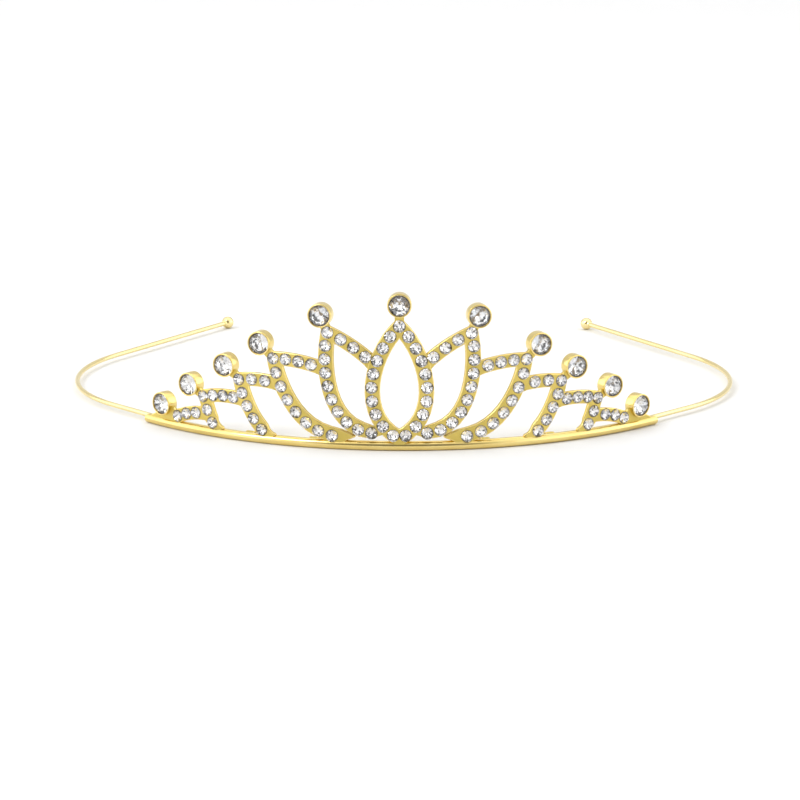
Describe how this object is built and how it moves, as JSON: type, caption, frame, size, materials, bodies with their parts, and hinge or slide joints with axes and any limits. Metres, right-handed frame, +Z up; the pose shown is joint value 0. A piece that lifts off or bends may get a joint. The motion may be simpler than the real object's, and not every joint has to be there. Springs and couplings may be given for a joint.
{
  "type": "crown headband",
  "caption": "Thin gold headband that carries a small pierced crown of overlapping petals, set with round cut stones and larger round stones at the petals' tips.",
  "frame": {"origin": "on the floor, under the middle of the whole", "axes": "+X across the head to the wearer's left, -Y out of the crown's face, +Z up along the crown"},
  "size_m": [0.15, 0.1196, 0.034],
  "materials": {
    "cast_gold": "polished gold plate",
    "wire_gold": "polished gold plate",
    "petal_crystal": "foil-backed cut glass",
    "finial_crystal": "foil-backed cut glass"
  },
  "bodies": {
    "root": {"crown_casting": "cast_gold", "headband_wire": "wire_gold", "tip_ball_left": "wire_gold", "tip_ball_right": "wire_gold", "petal_stones": "petal_crystal", "finial_stone_1": "finial_crystal", "finial_stone_2": "finial_crystal", "finial_stone_3": "finial_crystal", "finial_stone_4": "finial_crystal", "finial_stone_5": "finial_crystal", "finial_stone_6": "finial_crystal", "finial_stone_7": "finial_crystal", "finial_stone_8": "finial_crystal", "finial_stone_9": "finial_crystal", "finial_stone_10": "finial_crystal", "finial_stone_11": "finial_crystal"}
  },
  "joints": []
}
